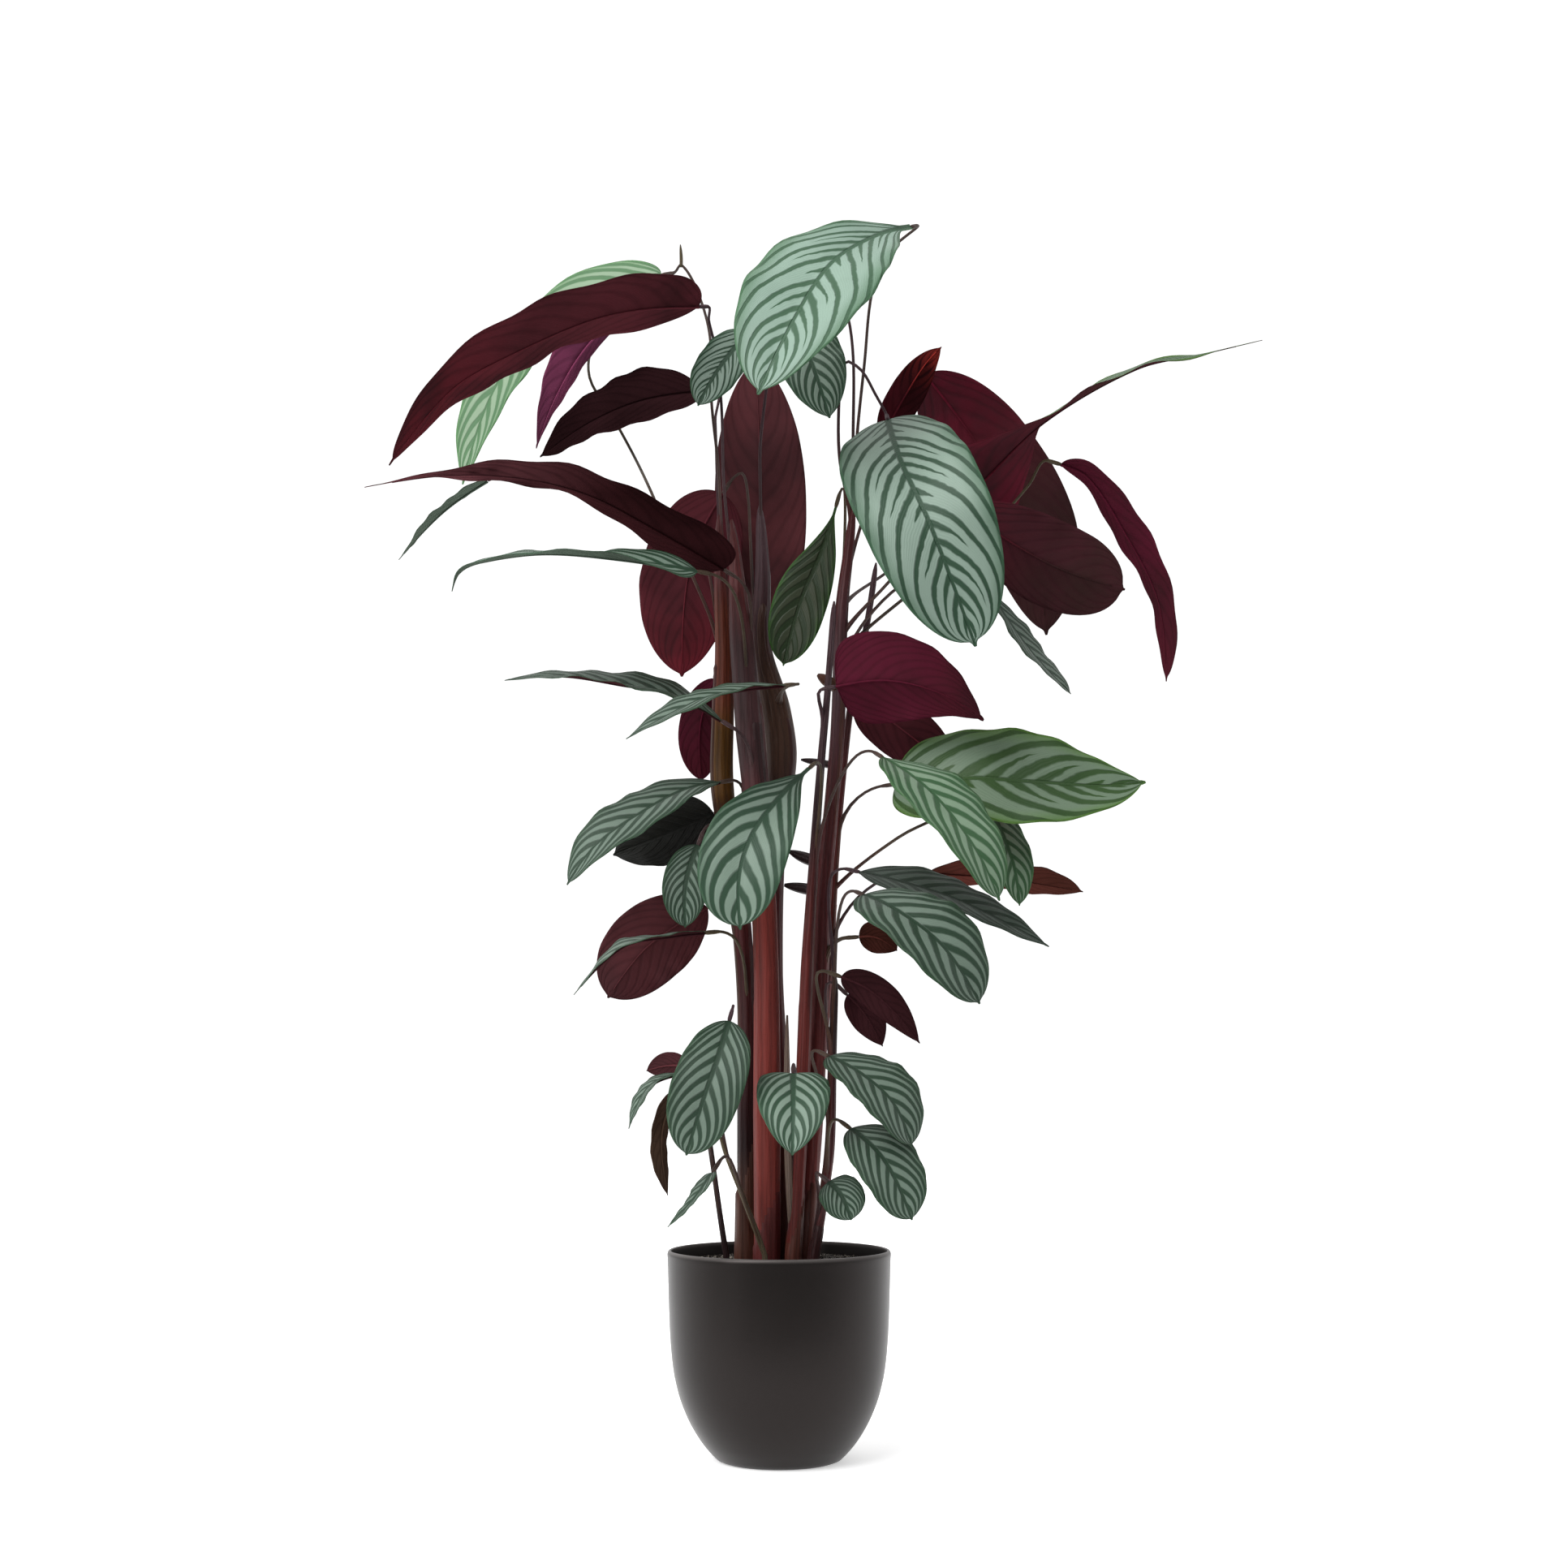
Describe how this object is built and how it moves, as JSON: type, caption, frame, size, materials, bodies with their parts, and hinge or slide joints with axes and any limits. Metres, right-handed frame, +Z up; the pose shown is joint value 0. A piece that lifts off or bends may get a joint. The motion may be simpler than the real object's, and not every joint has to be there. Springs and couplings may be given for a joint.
{
  "type": "potted ctenanthe",
  "caption": "Tall house plant with patterned, drooping leaves on leafy canes, in a round-bottomed plastic planter filled with soil.",
  "frame": {"origin": "centre of the planter's flat base, on the surface that it stands on", "axes": "+Z up along the planter's axis, -Y towards the side that the picture shows, +X to that viewer's right"},
  "size_m": [0.8952, 0.4215, 1.263],
  "materials": {
    "pot": "satin",
    "soil": "matte",
    "stem": "satin",
    "leaf": "satin"
  },
  "bodies": {
    "root": {"leaf_01": "leaf", "leaf_02": "leaf", "leaf_03": "leaf", "leaf_04": "leaf", "leaf_05": "leaf", "leaf_06": "leaf", "leaf_07": "leaf", "leaf_08": "leaf", "leaf_09": "leaf", "leaf_10": "leaf", "leaf_11": "leaf", "leaf_12": "leaf", "leaf_14": "leaf", "leaf_15": "leaf", "leaf_16": "leaf", "leaf_17": "leaf", "leaf_18": "leaf", "leaf_19": "leaf", "leaf_20": "leaf", "leaf_21": "leaf", "leaf_22": "leaf", "leaf_23": "leaf", "leaf_24": "leaf", "leaf_25": "leaf", "leaf_26": "leaf", "leaf_27": "leaf", "leaf_28": "leaf", "leaf_29": "leaf", "leaf_30": "leaf", "leaf_31": "leaf", "leaf_32": "leaf", "leaf_33": "leaf", "leaf_34": "leaf", "leaf_35": "leaf", "leaf_36": "leaf", "leaf_37": "leaf", "leaf_38": "leaf", "leaf_39": "leaf", "leaf_41": "leaf", "leaf_42": "leaf", "leaf_44": "leaf", "leaf_45": "leaf", "leaf_46": "leaf", "leaf_47": "leaf", "leaf_48": "leaf", "leaf_49": "leaf", "leaf_51": "leaf", "leaf_52": "leaf", "leaf_54": "leaf", "pot": "pot", "soil": "soil", "stem_back": "stem", "stem_edge": "stem", "stem_far": "stem", "stem_front": "stem", "stem_left": "stem", "stem_low_left": "stem", "stem_low_right": "stem", "stem_middle": "stem", "stem_right": "stem"}
  },
  "joints": []
}
